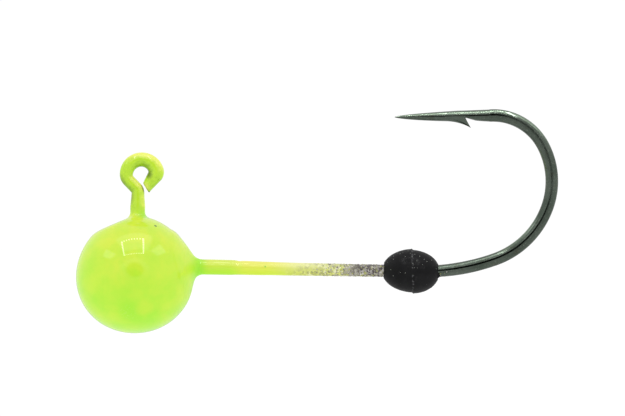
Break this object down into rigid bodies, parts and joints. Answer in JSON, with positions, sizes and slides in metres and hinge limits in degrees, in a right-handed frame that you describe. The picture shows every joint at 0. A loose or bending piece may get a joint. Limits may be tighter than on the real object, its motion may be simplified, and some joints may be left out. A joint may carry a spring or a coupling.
{
  "type": "jig head",
  "caption": "Ball-head fishing jig: upturned line eye, painted round lead head cast on a long-shank barbed hook, and a rubber keeper bead that slides on the shank.",
  "frame": {"origin": "centre of the line eye, in the hook's plane", "axes": "+X along the shank from the head towards the hook bend, +Z from the head up to the line eye and the point's side, +Y through the line eye"},
  "size_m": [0.0355, 0.0086, 0.0171],
  "materials": {
    "hook_wire": "gloss",
    "lead": "matte",
    "paint": "gloss",
    "bead_rubber": "matte"
  },
  "bodies": {
    "jig": {"hook": "hook_wire", "lead_head": "lead", "paint_coat": "paint"},
    "keeper": {"keeper_bead": "bead_rubber"}
  },
  "joints": [
    {"name": "bead_slide", "type": "slide", "parent": "jig", "child": "keeper", "axis": [1, 0, 0], "range_m": [-0.0106, 0.0004]}
  ]
}
